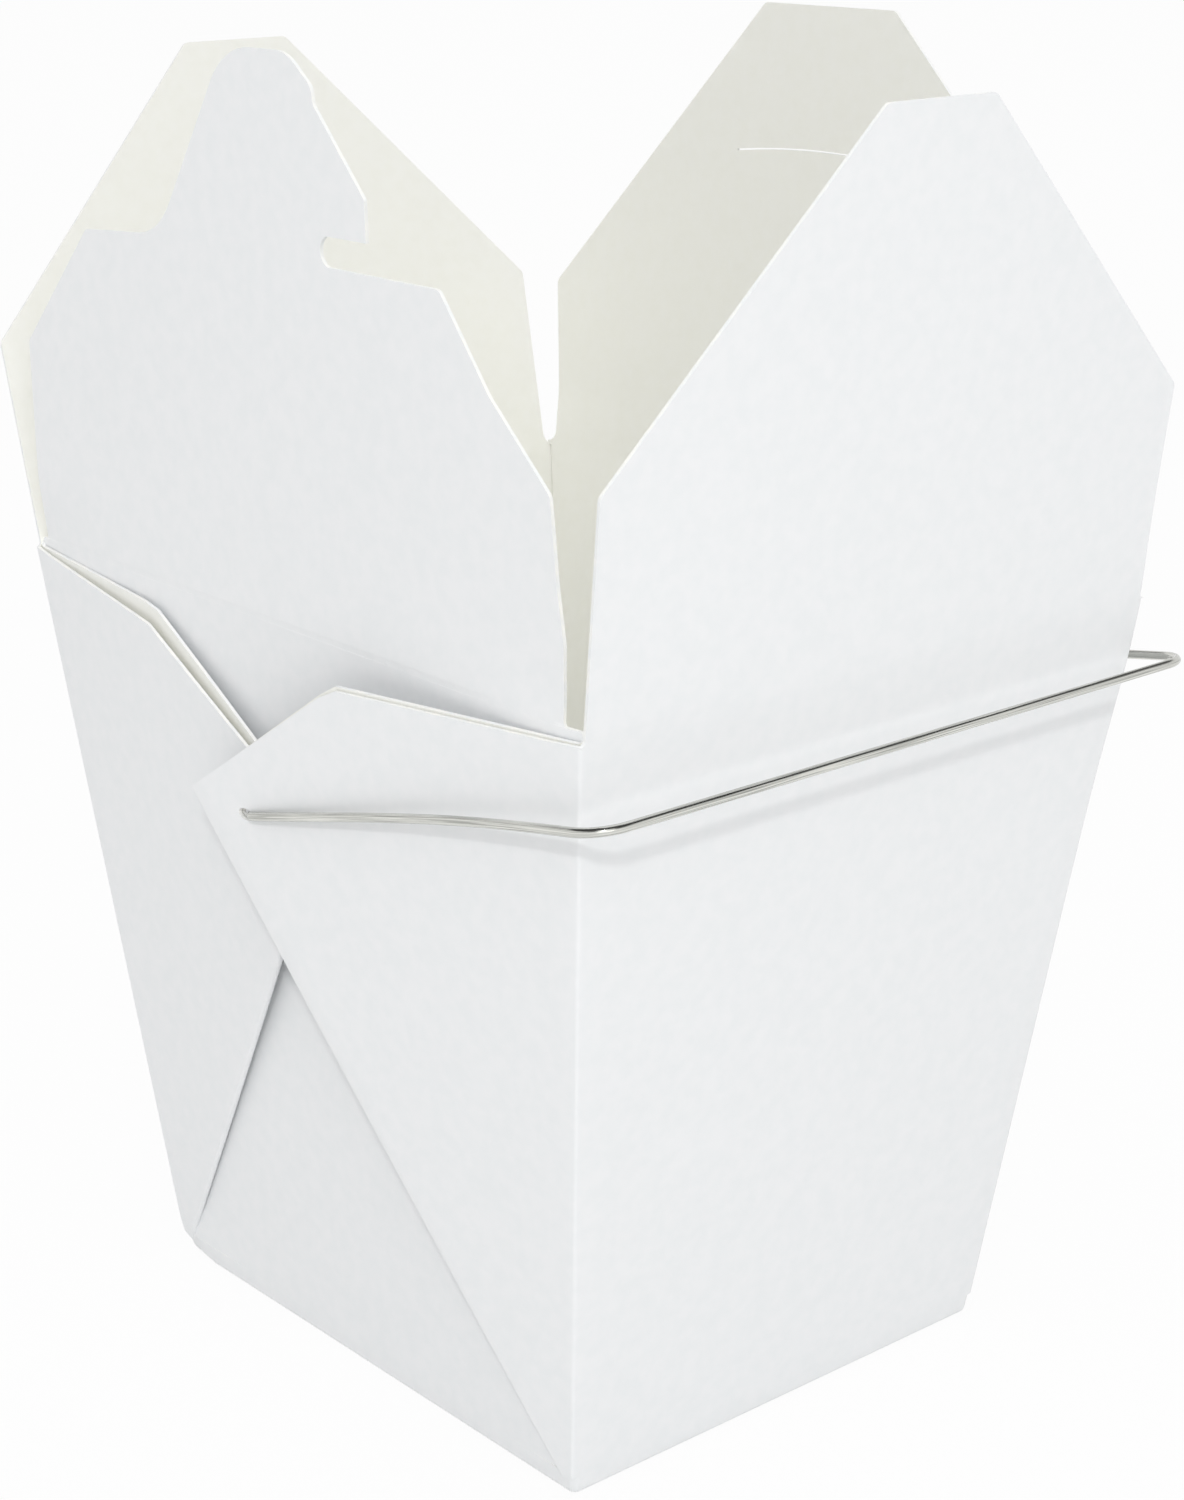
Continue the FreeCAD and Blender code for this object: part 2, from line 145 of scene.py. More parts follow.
class WebSizes(bpy.types.PropertyGroup):
    """The two kinds of corner web, measured from the corner edge and down along it."""

    front_lift: angle("Front lift", 7.0, "Front web off the end wall")
    front_shoulder: lengths("Front shoulder", (41.2, 7.7), "From the edge, below the score")
    front_point: lengths("Front point", (68.5, 31.2), "From the edge, below the score")
    front_ply_rise: length("Front ply rise", 0.35, "Inner ply above the outer one")
    front_opening: length("Front opening", 0.0, "Extra air between the plies")
    back_lift: angle("Back lift", 3.2, "Back web off the end wall")
    back_shoulder: lengths("Back shoulder", (31.1, 8.9), "From the edge, below the score")
    back_point: lengths("Back point", (66.6, 33.1), "From the edge, below the score")
    back_ply_rise: length("Back ply rise", 2.1, "Inner ply above the outer one")
    back_opening: length("Back opening", 0.6, "Extra air between the plies")
    swell: length("Swell", 0.25, "Outer ply's face off the end wall's outside")
    fold_room: length("Fold room", 0.35, "From a ply's end to the web's diagonal fold")
    press: length("Press", 0.95, "How far the end wall is pressed in beside a corner")
    press_ramp: length("Press ramp", 14, "Height over which that begins above the base")
    press_fade: length("Press fade", 10, "Height over which it ends above the score")


class FlapSizes(bpy.types.PropertyGroup):
    """The four top flaps, drawn from their score lines up and measured from their middle."""

    front_left: lengths("Front flap left", (46.5, 46.6), "To its side at the score, the shoulder")
    front_right: lengths("Front flap right", (46.7, 48.2), "The same on the right")
    back_left: lengths("Back flap left", (46.5, 46.9), "To its side at the score, the shoulder")
    back_right: lengths("Back flap right", (44.8, 46.0), "The same on the right")
    plain_shoulder: length("Plain shoulder", 28.3, "Height of a plain flap's shoulder")
    plain_length: length("Plain length", 67.5, "A plain flap from score to tip")
    plain_tip: length("Plain tip", 17.4, "Width of a plain flap's tip")
    slot_front: lengths("Slot flap front", (59.4, 59.0), "To its side at the score, the shoulder")
    slot_back: lengths("Slot flap back", (58.4, 59.0), "The same at the back")
    slot_shoulder: length("Slot flap shoulder", 25.8, "Height of its shoulder")
    slot_length: length("Slot flap length", 70.3, "Slot flap from score to tip")
    slot_tip: length("Slot flap tip", 25.4, "Width of the slot flap's tip")
    slot_height: length("Slot height", 49.3, "Lock slot above the score")
    slot_span: length("Slot span", 36.0, "Lock slot between its ends")
    slot_rise: length("Slot rise", 1.1, "How much higher the slot's middle is")
    slot_width: length("Slot width", 0.24, "Width of the lock slot")
    tongue_front: lengths("Tongue flap front", (56.4, 55.8), "To its side, at score and shoulder")
    tongue_hip: lengths("Tongue hip", (57.6, 9.5), "Where its side swings out, and how high")
    tongue_waist: lengths("Tongue waist", (56.7, 15.5), "Where it swings back, and how high")
    tongue_shoulder: length("Tongue shoulder", 26.0, "Height of its front shoulder")
    tongue_bend: lengths("Tongue bend", (45.5, 35.5), "Where its slope steepens, and how high")
    tongue_front_top: length("Tongue front top", 37.0, "Corner below the notch")
    tongue_base: length("Tongue base", 46.2, "Height of the straight top beside the tongue")
    notch: lengths("Notch", (14.35, 3.65), "Inner end of the locking notch, and its height")
    hook: lengths("Hook", (23.6, 4.9), "Tip of the hook above the notch, and its height")
    neck: lengths("Neck", (14.3, 64.7), "Where the tongue's front side turns up, and how high")
    cheek: lengths("Cheek", (14.2, 66.6), "Corner below the tongue's tip, and how high")
    tip: lengths("Tip", (9.3, -3.9), "Front and back corner of the tongue's tip")
    tip_rounding: lengths("Tip rounding", (6.0, 11.0), "Radius of those two corners")
    tongue_length: length("Tongue flap length", 70.4, "Tongue flap from score to tip")
    back_slope: length("Back slope", 21.4, "Foot of the tongue's back slope")
    sweep: length("Sweep", 11.0, "Radius where that slope meets the top")
    tongue_back_top: lengths("Tongue back top", (39.5, 45.0), "Corner of its back, and how high")
    tongue_back: lengths("Tongue flap back", (58.3, 57.2), "To its side, at score and shoulder")
    tongue_back_shoulder: length("Tongue back shoulder", 28.0, "Height of that shoulder")
    rounding: length("Rounding", 1.3, "Radius of the other corners")
    slit_rounding: length("Slit rounding", 0.7, "Radius at the foot of the slits between flaps")
    wide_rounding: length("Wide rounding", 1.9, "That radius at the back right slit")
    wide_bottom: lengths("Wide bottom", (0.7, 0.2), "Of that slit, above the two flaps' scores")
    tongue_crease: number("Tongue crease", 2.4, "How much deeper its score's groove is")
    front_lean: angle("Front lean", 6.1, "Front flap outward from upright")
    back_lean: angle("Back lean", 13.7, "Back flap outward from upright")
    end_lean: angle("End lean", 1.0, "End flaps outward from upright")


class BailSizes(bpy.types.PropertyGroup):
    """The wire bail."""

    wire: length("Wire", 1.2, "Diameter of the wire")
    arm: length("Arm", 67.4, "From the pivot to the middle of the bail")
    lean: angle("Lean", 12.6, "Arms above level")
    arm_root: length("Arm root", 52.73, "Arm beside the hole, from the middle")
    arm_tip: length("Arm tip", 49.5, "Arm at the left bend, from the middle")
    arm_tip_right: length("Right arm tip", 51.5, "Arm at the right bend, from the middle")
    arm_bow: length("Arm bow", 0.85, "How far the arms arch up")
    right_up: length("Right up", 0.5, "How much higher the right bend is")
    hook_place: length("Hook place", 43.17, "Clinched end, from the middle")
    hook_length: length("Hook length", 6.0, "Clinched end inside the box")
    bend: length("Bend", 4.5, "Radius of the bends beside the middle")
    hook_bend: length("Hook bend", 1.5, "Radius of the bends at the holes")
    step: length("Step", 0.6, "Length of the wire's faces")
    hole: length("Hole", 0.82, "Radius of the holes")
    hole_wear: number("Hole wear", 0.8, "How much longer the holes are torn")


class Finishes(bpy.types.PropertyGroup):
    """Colours of the board, the wire and the floor."""

    coating: colour("Coating", "#F4F5F6", "Clay-coated outside of the board")
    coating_shade: colour("Coating shade", "#F1F3F4", "Thinner patches of the coating")
    lining: colour("Lining", "#FBFBF6", "Polyethylene-lined inside of the board")
    lining_shade: colour("Lining shade", "#F9F9F3", "Fibres under the lining")
    pulp: colour("Pulp", "#FAF9F5", "Cut edge of the bleached board")
    wire: colour("Wire", "#E2E2DC", "Galvanised steel")
    wire_scratch: colour("Wire scratch", "#A4A5A0", "Drawing lines in the zinc")
    floor: colour("Floor", "#EEEEEE", "Pale floor")


class Studio(bpy.types.PropertyGroup):
    """Camera and light."""

    camera_azimuth: angle("Camera azimuth", -39.67038, "Camera round the box")
    camera_elevation: angle("Camera elevation", 18.34996, "Camera above the floor")
    camera_roll: angle("Camera roll", -0.47458, "Camera about its own axis")
    camera_place: lengths("Camera place", (-237.387, -291.527, 205.991), "Where it stands")
    focal: length("Focal length", 68.7176, "Lens on a 36 mm sensor")
    aim: length("Aim", 90, "Height at which the lamps look")
    key_azimuth: angle("Key azimuth", -40, "Small lamp round the box")
    key_elevation: angle("Key elevation", 34, "Small lamp above the floor")
    key_distance: length("Key distance", 1200, "Small lamp from the box")
    key_size: length("Key size", 60, "Side of the small lamp")
    key_power: number("Key power", 2.8, "Power of the small lamp in watts", "POWER")
    soft_azimuth: angle("Soft azimuth", -30, "Wide lamp round the box")
    soft_elevation: angle("Soft elevation", 28, "Wide lamp above the floor")
    soft_distance: length("Soft distance", 1400, "Wide lamp from the box")
    soft_size: length("Soft size", 1100, "Side of the wide lamp")
    soft_power: number("Soft power", 3.2, "Power of the wide lamp in watts", "POWER")
    sky: number("Sky", 0.25, "Strength of the light from the sides")
    sky_top: number("Sky top", 1.1, "Strength of the light from above")
    flag: number("Flag", 0.5, "Height in the sky where shiny things begin to see a dark flag")
    flag_top: number("Flag top", 0.62, "Height in the sky where they see only the flag")
    flag_light: number("Flag light", 0.9, "What shiny things see below the flag")
    flag_dark: number("Flag dark", 0.06, "What they see of the flag")
    floor_glow: number("Floor glow", 0.93, "Share of the floor's seen colour that is plain white")


class FoodBox(bpy.types.PropertyGroup):
    """All the box's settings."""

    carton: PointerProperty(type=CartonSizes, name="Carton", description="Folded sheet")
    webs: PointerProperty(type=WebSizes, name="Webs", description="Corner webs")
    flaps: PointerProperty(type=FlapSizes, name="Flaps", description="Top flaps")
    bail: PointerProperty(type=BailSizes, name="Bail", description="Wire bail")
    finishes: PointerProperty(type=Finishes, name="Finishes", description="Colours")
    studio: PointerProperty(type=Studio, name="Studio", description="Camera and light")


def settings():
    """The box's settings in this scene."""
    return bpy.context.scene.food_box


# Small vector helpers

def unit(vector):
    """The vector at length one."""
    vector = np.asarray(vector, float)
    return vector / np.linalg.norm(vector, axis=-1, keepdims=True)


def smooth(share):
    """An ease from 0 to 1."""
    share = np.clip(share, 0, 1)
    return share * share * (3 - 2 * share)


def way_out(azimuth, elevation):
    """The direction from the box at an azimuth and an elevation; 0 is straight ahead of it."""
    level = math.cos(elevation)
    return Vector((math.sin(azimuth) * level, -math.cos(azimuth) * level, math.sin(elevation)))


def arc_between(corner, back, ahead, radius):
    """The centre, two spokes and turn of the arc that rounds a corner between two directions."""
    half = math.acos(np.clip(back @ ahead, -1, 1)) / 2
    centre = corner + unit(back + ahead) * radius / math.sin(half)
    reach = radius / math.tan(half)
    start, end = corner + back * reach - centre, corner + ahead * reach - centre
    return centre, start, end, math.pi - 2 * half


def arc_points(centre, start, end, turn, steps):
    """Points of an arc from one spoke to the other."""
    shares = np.linspace(0, 1, steps + 1)
    return [centre + (start * math.sin(turn * (1 - share)) + end * math.sin(turn * share))
            / math.sin(turn) for share in shares]


# Materials

def add_node(tree, kind, place, inputs=None, **options):
    """Adds a node and joins each of its inputs to a socket or sets it to a value."""
    node = tree.nodes.new(kind)
    node.location = place
    for name, value in options.items():
        setattr(node, name, value)
    for key, given in (inputs or {}).items():
        if isinstance(given, bpy.types.NodeSocket):
            tree.links.new(given, node.inputs[key])
        else:
            node.inputs[key].default_value = given
    return node


def new_material(name):
    """A node material with only a Principled shader and its output."""
    material = bpy.data.materials.new(name)
    material.use_nodes = True
    tree = material.node_tree
    tree.nodes.clear()
    shader = add_node(tree, "ShaderNodeBsdfPrincipled", (300, 0))
    output = add_node(tree, "ShaderNodeOutputMaterial", (600, 0),
                      {"Surface": shader.outputs["BSDF"]})
    return material, tree, shader, output


def dress(tree, shader, tones, shares, rough, normal):
    """Gives a shader a colour between two tones, a roughness and a relief."""
    mixed = add_node(tree, "ShaderNodeMix", (-250, 200),
                     {"Factor": shares, FIRST_COLOUR: (*tones[0], 1),
                      SECOND_COLOUR: (*tones[1], 1)}, data_type="RGBA")
    tree.links.new(mixed.outputs[MIXED_COLOUR], shader.inputs["Base Color"])
    tree.links.new(rough.outputs["Result"], shader.inputs["Roughness"])
    tree.links.new(normal.outputs["Normal"], shader.inputs["Normal"])


def board_material(name, tone, patches, roughness, fibre_height):
    """Paperboard, whose fibres give a slightly clouded tone, an uneven sheen and a fine grain."""
    material, tree, shader, _ = new_material(name)
    cloud, fibre = 2.2 * MM, 0.55 * MM
    where = add_node(tree, "ShaderNodeTexCoord", (-1100, 0)).outputs["Object"]
    clouds = add_node(tree, "ShaderNodeTexNoise", (-850, 200),
                      {"Vector": where, "Scale": 1 / cloud, "Detail": 3, "Roughness": 0.55})
    fibres = add_node(tree, "ShaderNodeTexNoise", (-850, -100),
                      {"Vector": where, "Scale": 1 / fibre, "Detail": 2, "Roughness": 0.6})
    cloudy = clouds.outputs["Fac"]
    ramp = add_node(tree, "ShaderNodeMapRange", (-600, 200),
                    {"Value": cloudy, "From Min": 0.35, "From Max": 0.65})
    rough = add_node(tree, "ShaderNodeMapRange", (-300, -50),
                     {"Value": cloudy, "To Min": roughness - 0.04, "To Max": roughness + 0.05})
    waves = add_node(tree, "ShaderNodeBump", (0, -400),
                     {"Height": cloudy, "Strength": 0.12, "Distance": fibre_height * 2})
    relief = add_node(tree, "ShaderNodeBump", (0, -200),
                      {"Height": fibres.outputs["Fac"], "Strength": 0.25,
                       "Distance": fibre_height, "Normal": waves.outputs["Normal"]})
    dress(tree, shader, (tone, patches), ramp.outputs["Result"], rough, relief)
    shader.inputs["IOR"].default_value = 1.48
    return material


def wire_material(name, tone, scratch):
    """Galvanised steel, whose bright zinc and drawing lines give long thin glints along the wire."""
    material, tree, shader, _ = new_material(name)
    line, lines_round = 14 * MM, 26
    along = add_node(tree, "ShaderNodeAttribute", (-1300, 100), attribute_name="wire_length")
    turn = add_node(tree, "ShaderNodeAttribute", (-1300, -150), attribute_name="wire_turn")
    join = add_node(tree, "ShaderNodeCombineXYZ", (-1100, 0),
                    {"X": along.outputs["Fac"], "Y": turn.outputs["Fac"]})
    place = add_node(tree, "ShaderNodeMapping", (-900, 0),
                     {"Vector": join.outputs["Vector"], "Scale": (1 / line, lines_round, 1)})
    lines = add_node(tree, "ShaderNodeTexNoise", (-700, 0),
                     {"Vector": place.outputs["Vector"], "Scale": 1, "Detail": 3,
                      "Roughness": 0.6}).outputs["Fac"]
    ramp = add_node(tree, "ShaderNodeMapRange", (-500, 0),
                    {"Value": lines, "From Min": 0.4, "From Max": 0.66})
    rough = add_node(tree, "ShaderNodeMapRange", (-250, -100),
                     {"Value": lines, "To Min": 0.12, "To Max": 0.24})
    relief = add_node(tree, "ShaderNodeBump", (0, -250),
                      {"Height": lines, "Strength": 0.4, "Distance": 0.02 * MM})
    dress(tree, shader, (tone, scratch), ramp.outputs["Result"], rough, relief)
    shader.inputs["Metallic"].default_value = 1
    return material


def floor_material(name, tone, glow):
    """Matt card, which looks nearly white and shows only the box's soft shadow."""
    material, tree, shader, output = new_material(name)
    shader.inputs["Base Color"].default_value = (*tone, 1)
    shader.inputs["Roughness"].default_value = 0.9
    rays = add_node(tree, "ShaderNodeLightPath", (-200, 300))
    seen = add_node(tree, "ShaderNodeMath", (0, 300),
                    {0: rays.outputs["Is Camera Ray"], 1: rays.outputs["Is Glossy Ray"]},
                    operation="MAXIMUM")
    share = add_node(tree, "ShaderNodeMath", (200, 300), {0: seen.outputs[0], 1: glow},
                     operation="MULTIPLY")
    white = add_node(tree, "ShaderNodeEmission", (300, -300), {"Color": WHITE, "Strength": 1})
    blend = add_node(tree, "ShaderNodeMixShader", (450, 0),
                     {0: share.outputs[0], 1: shader.outputs["BSDF"],
                      2: white.outputs["Emission"]})
    tree.links.new(blend.outputs["Shader"], output.inputs["Surface"])
    return material


def board_materials():
    """Outside, inside and cut edge of the board, made once and shared by all its pieces."""
    names = ("clay_coated_paperboard", "lined_paperboard", "cut_board_edge")
    found = [bpy.data.materials.get(name) for name in names]
    if all(found):
        return found
    finish = settings().finishes
    looks = (
        # Clay coating gives a cool and even white with a soft sheen.
        (finish.coating, finish.coating_shade, 0.42, 0.012 * MM),
        # The thin plastic lining lets the fibres show through and gives a creamy, waxy white.
        (finish.lining, finish.lining_shade, 0.5, 0.015 * MM),
        # Bare fibres at the cut give a matt, warm white line round every flap and web.
        (finish.pulp, finish.coating_shade, 0.85, 0.04 * MM))
    return [board_material(name, *look) for name, look in zip(names, looks)]


# Sheets of board

class Shells:
    """Collects the closed shells of one piece of board."""

    def __init__(self):
        self.points, self.faces, self.kinds, self.count = [], [], [], 0

    def add(self, points, faces, kinds):
        """Adds points and the faces between them, numbered from the first of them."""
        self.points.append(np.asarray(points, float).reshape(-1, 3))
        self.faces += [[self.count + i for i in face] for face in faces]
        self.kinds += kinds
        self.count += len(self.points[-1])

    def add_grid(self, middle, thickness, cap=False):
        """A board round the box whose middle is a grid of closed rows, with its two sides.

        A cap closes the first row; without it both the first and the last row get a cut edge.
        """
        rows, columns = middle.shape[:2]
        across = np.roll(middle, -1, 1) - np.roll(middle, 1, 1)
        half = unit(np.cross(across, np.gradient(middle, axis=0))) * thickness / 2
        below, top = rows * columns, (rows - 1) * columns
        faces, kinds = [], []
        for r in range(0, top, columns):
            for c in range(columns):
                d = (c + 1) % columns
                quad = [r + c, r + d, r + columns + d, r + columns + c]
                faces += [quad, [below + i for i in reversed(quad)]]
                kinds += [OUTSIDE, INSIDE]
        for c in range(columns):
            d = (c + 1) % columns
            faces.append([top + c, top + d, below + top + d, below + top + c])
            kinds.append(CUT_EDGE)
            if not cap:
                faces.append([d, c, below + c, below + d])
                kinds.append(CUT_EDGE)
        if cap:
            faces += [list(reversed(range(columns))), [below + i for i in range(columns)]]
            kinds += [OUTSIDE, INSIDE]
        self.add([middle + half, middle - half], faces, kinds)

    def make(self, name):
        """One mesh object of all the shells, smooth except at its cut edges."""
        mesh = bpy.data.meshes.new(name)
        mesh.from_pydata(np.concatenate(self.points).tolist(), [], self.faces)
        for material in board_materials():
            mesh.materials.append(material)
        mesh.polygons.foreach_set("material_index", self.kinds)
        mesh.update()
        shade(mesh)
        made = bpy.data.objects.new(name, mesh)
        bpy.context.scene.collection.objects.link(made)
        return made


def apply_modifiers(made):
    """Keeps what an object's modifiers make as its plain mesh."""
    seen = made.evaluated_get(bpy.context.evaluated_depsgraph_get())
    plain = bpy.data.meshes.new_from_object(seen)
    made.modifiers.clear()
    made.data = plain


def shade(mesh):
    """Smooth faces with sharp cut edges."""
    mesh.shade_smooth()
    mesh.set_sharp_from_angle(angle=SHARP_ANGLE)


# The folded sheet

def leans():
    """How far the end walls and the plain walls lean out."""
    carton = settings().carton
    height = hinge("slot_flap_fold")[2]
    return (math.atan2((carton.rim_width - carton.base_width) / 2, height),
            math.atan2((carton.rim_length - carton.base_length) / 2, height))


class Corner:
    """One corner of the box: its edge, and the cross-section of the folds round it."""

    def __init__(self, end, side):
        carton, webs = settings().carton, settings().webs

        def size(name):
            return getattr(webs, ("front_" if side < 0 else "back_") + name)

        end_top, plain_top = hinge("slot_flap_fold")[2], hinge("back_flap_fold")[2]
        self.foot = np.array([end * carton.base_width / 2, side * carton.base_length / 2, 0])
        top = np.array([end * carton.rim_width / 2, side * carton.rim_length / 2, end_top])
        self.edge = unit(top - self.foot)
        flare = (carton.rim_width - carton.base_width) / 2
        self.out = unit([end * end_top, 0, -flare])
        self.into = np.cross(self.out, self.edge) * end * side
        plain_flare = (carton.rim_length - carton.base_length) / 2
        plain_out = unit([0, side * end_top, -plain_flare])
        self.lift, self.opening, self.rise = size("lift"), size("opening"), size("ply_rise")
        self.half, self.ply, self.webs = carton.board / 2, carton.ply_radius, webs
        stretch = np.linalg.norm(top - self.foot) / end_top
        self.plain_top = (plain_top - carton.score_half) * stretch
        self.end_top = (end_top - carton.score_half) * stretch
        score = plain_top * stretch
        self.shoulder, self.point = (np.array([reach, score - drop]) for reach, drop in
                                     (size("shoulder"), size("point")))
        self.round_fold(plain_out, carton.fold_radius)

    def round_fold(self, plain_out, radius, steps=6):
        """The round fold from the plain wall to the outer ply, seen along the corner edge."""
        plain = np.array([plain_out @ self.into, plain_out @ self.out])
        ply = np.array([-math.sin(self.lift), math.cos(self.lift)])
        corner = np.linalg.solve([plain, ply], [-self.half, self.webs.swell - self.half])
        ahead = np.array([math.cos(self.lift), math.sin(self.lift)])
        back = np.array([plain[1], -plain[0]])
        back = back if back @ ply < 0 else -back
        self.arc = arc_points(*arc_between(corner, back, ahead, radius), steps)
        self.ply_start = self.arc[-1] @ ahead

    def at(self, flat, along):
        """A point from its place in the cross-section and its place along the edge."""
        return self.foot + self.into * flat[0] + self.out * flat[1] + self.edge * along

    def on_ply(self, reach, along, sink):
        """A point on the outer ply's plane, sunk under its face."""
        ahead = np.array([math.cos(self.lift), math.sin(self.lift)])
        face = np.array([-math.sin(self.lift), math.cos(self.lift)])
        return self.at(ahead * reach + face * (self.webs.swell - sink), along)

    def press(self, reach, along):
        """How far the end wall is pressed in beside the corner, to leave room for the web."""
        room = 1.5 * (self.half * 3 + self.ply * 2) / math.sin(self.lift)
        ramp = smooth(along / self.webs.press_ramp)
        return self.webs.press * ramp * np.clip(1 - reach / room, 0, 1) ** 2

    def ply_curve(self, low, rise):
        """A ply's top edge as (reach, along) points at full height."""
        aside = 0.8 * rise / 3
        return np.array([[0, low], self.shoulder + [aside, rise], self.point])

    def ply_points(self, curve, share, start, stop, steps):
        """Points (reach, along) across a ply at a share of its height, clear of its folds."""
        legs = np.linalg.norm(np.diff(curve, axis=0), axis=1)
        marks = np.concatenate([[0], np.cumsum(legs)])
        first = start / share / curve[1, 0] * marks[1]
        fold = unit(curve[-1])
        away = abs(curve[1, 0] * fold[1] - curve[1, 1] * fold[0])
        last = marks[-1] - stop / share / away * legs[1]
        travel = first + (last - first) * np.linspace(0, 1, steps)
        reach = np.interp(travel, marks, curve[:, 0]) * share
        along = np.interp(travel, marks, curve[:, 1]) * share
        return reach, along

    def row(self, share, steps=22):
        """The folds round the corner at a share of the height, from the plain wall on."""
        points = [self.at(flat, share * self.plain_top) for flat in self.arc]
        outer = self.ply_curve(self.plain_top, 0)
        inner = self.ply_curve(self.plain_top + self.half, self.rise)
        room, inner_start = self.webs.fold_room, self.inner_start(share)
        between = np.linspace(0, 1, steps)
        bow = self.opening * 4 * between * (1 - between) * share ** 1.5
        outer_part = 0.35
        reach, along = self.ply_points(outer, share, self.ply_start, room, steps)
        points += [self.on_ply(r, a, self.half - outer_part * b)
                   for r, a, b in zip(reach[1:], along[1:], bow[1:])]
        sink = self.half + 2 * self.ply
        reach, along = self.ply_points(inner, share, inner_start, room, steps)
        under = [self.on_ply(r, a, sink + (1 - outer_part) * b)
                 for r, a, b in zip(reach[::-1], along[::-1], bow[::-1])]
        fold = unit(self.point)
        ahead = self.on_ply(fold[1], -fold[0], 0) - self.on_ply(0, 0, 0)
        points += half_turn(points[-1], under[0], ahead)[1:-1]
        points += under
        wall = self.wall_point(inner_start, share * self.end_top)
        back = -(self.into * math.cos(self.lift) + self.out * math.sin(self.lift))
        points += half_turn(points[-1], wall, back)[1:]
        return points

    def inner_start(self, share):
        """Where the inner ply and the end wall turn into each other, clear of the corner's fold."""
        clear, full_share = 3.5 * self.half, 0.12
        return self.ply_start + clear * min(1, share / full_share)

    def wall_point(self, reach, along):
        """A point on the middle of the end wall, at a reach from the corner edge."""
        return self.at(np.array([reach, -self.half - self.press(reach, along)]), along)


def half_turn(start, end, ahead, steps=8):
    """A half circle from start to end that swings out ahead."""
    centre, spoke = (start + end) / 2, (start - end) / 2
    radius = np.linalg.norm(spoke)
    turns = np.linspace(0, math.pi, steps + 1)
    return [centre + spoke * math.cos(t) + ahead * radius * math.sin(t) for t in turns]


def walls_ring(corners, rows=44, columns=26):
    """The walls and webs as rows of points, each row once round the box."""
    low_shares = [0.027, 0.045, 0.07]
    steps = np.linspace(0, 1, columns + 1)[1:-1]
    table = []
    for share in [*low_shares, *np.linspace(0.1, 1, rows)]:
        ring = []
        for end, side in ROUND:
            points = corners[end, side].row(share)
            ring.append(points if end * side < 0 else points[::-1])
        row = []
        for index, (end, side) in enumerate(ROUND):
            last, following = ring[index][-1], ring[(index + 1) % 4][0]
            if end * side < 0:
                across = pressed_wall(corners[end, side], corners[end, -side], share, steps)
            else:
                across = last + (following - last) * steps[:, None]
            row += [*ring[index], *across]
        table.append(row)
    return np.array(table)


def pressed_wall(near, far, share, steps):
    """The end wall between two corners, pressed in beside each of them."""
    along = share * near.end_top
    first, last = near.inner_start(share), far.inner_start(share)
    a = near.at(np.array([first, -near.half]), along)
    b = far.at(np.array([last, -far.half]), along)
    # Points stand a little closer beside the corners, where the wall bends most.
    crowding = 0.06
    steps = steps - crowding * np.sin(2 * math.pi * steps)
    width = np.linalg.norm(b - a)
    line = a + (b - a) * steps[:, None]
    press = near.press(first + width * steps, along)
    press = press + far.press(last + width * (1 - steps), along)
    return line - near.out * press[:, None]


def tray(first_row_height):
    """The base and the fold round it, up to where the walls' rows begin."""
    carton = settings().carton
    half, radius, inner_rounding = carton.board / 2, carton.base_fold, 0.5 * MM
    corner_steps, fold_steps, side_steps = 5, 7, 14

    def outline(insets, height, rounding):
        half_sides = np.array([carton.base_width, carton.base_length]) / 2 - insets
        points = []
        for quarter, signs in enumerate(ROUND):
            centre = np.array(signs) * (half_sides - rounding)
            for k in range(corner_steps + 1):
                turn = math.pi / 2 * (quarter - 1 + k / corner_steps)
                spot = centre + rounding * np.array([math.cos(turn), math.sin(turn)])
                points.append([*spot, height])
        return fill_gaps(np.array(points), corner_steps + 1, side_steps)

    rows = []
    for share in (0.03, 0.3, 0.6, 0.85):
        insets = np.array([carton.base_width, carton.base_length]) / 2 * (1 - share)
        height = half + carton.crown * (1 - share ** 2)
        rows.append(outline(insets, height, inner_rounding * share))
    lean = np.array(leans())
    reach = half / np.cos(lean) + radius * np.tan((math.pi / 2 - lean) / 2) - half * np.tan(lean)
    for k in range(fold_steps + 1):
        swing = (math.pi / 2 - lean) * k / fold_steps
        height = half + radius * (1 - math.cos(swing[0]))
        rows.append(outline(reach - radius * np.sin(swing), height, carton.base_rounding))
    insets = half / np.cos(lean) - first_row_height * np.tan(lean)
    rows.append(outline(insets, first_row_height, carton.base_rounding))
    return np.array(rows)


def fill_gaps(points, size, steps):
    """Adds evenly spaced points between groups of points that go round a ring."""
    ring = []
    for first in range(0, len(points), size):
        last, following = points[first + size - 1], points[(first + size) % len(points)]
        between = np.linspace(0, 1, steps + 1)[1:-1, None]
        ring += [*points[first:first + size], *(last + (following - last) * between)]
    return np.array(ring)


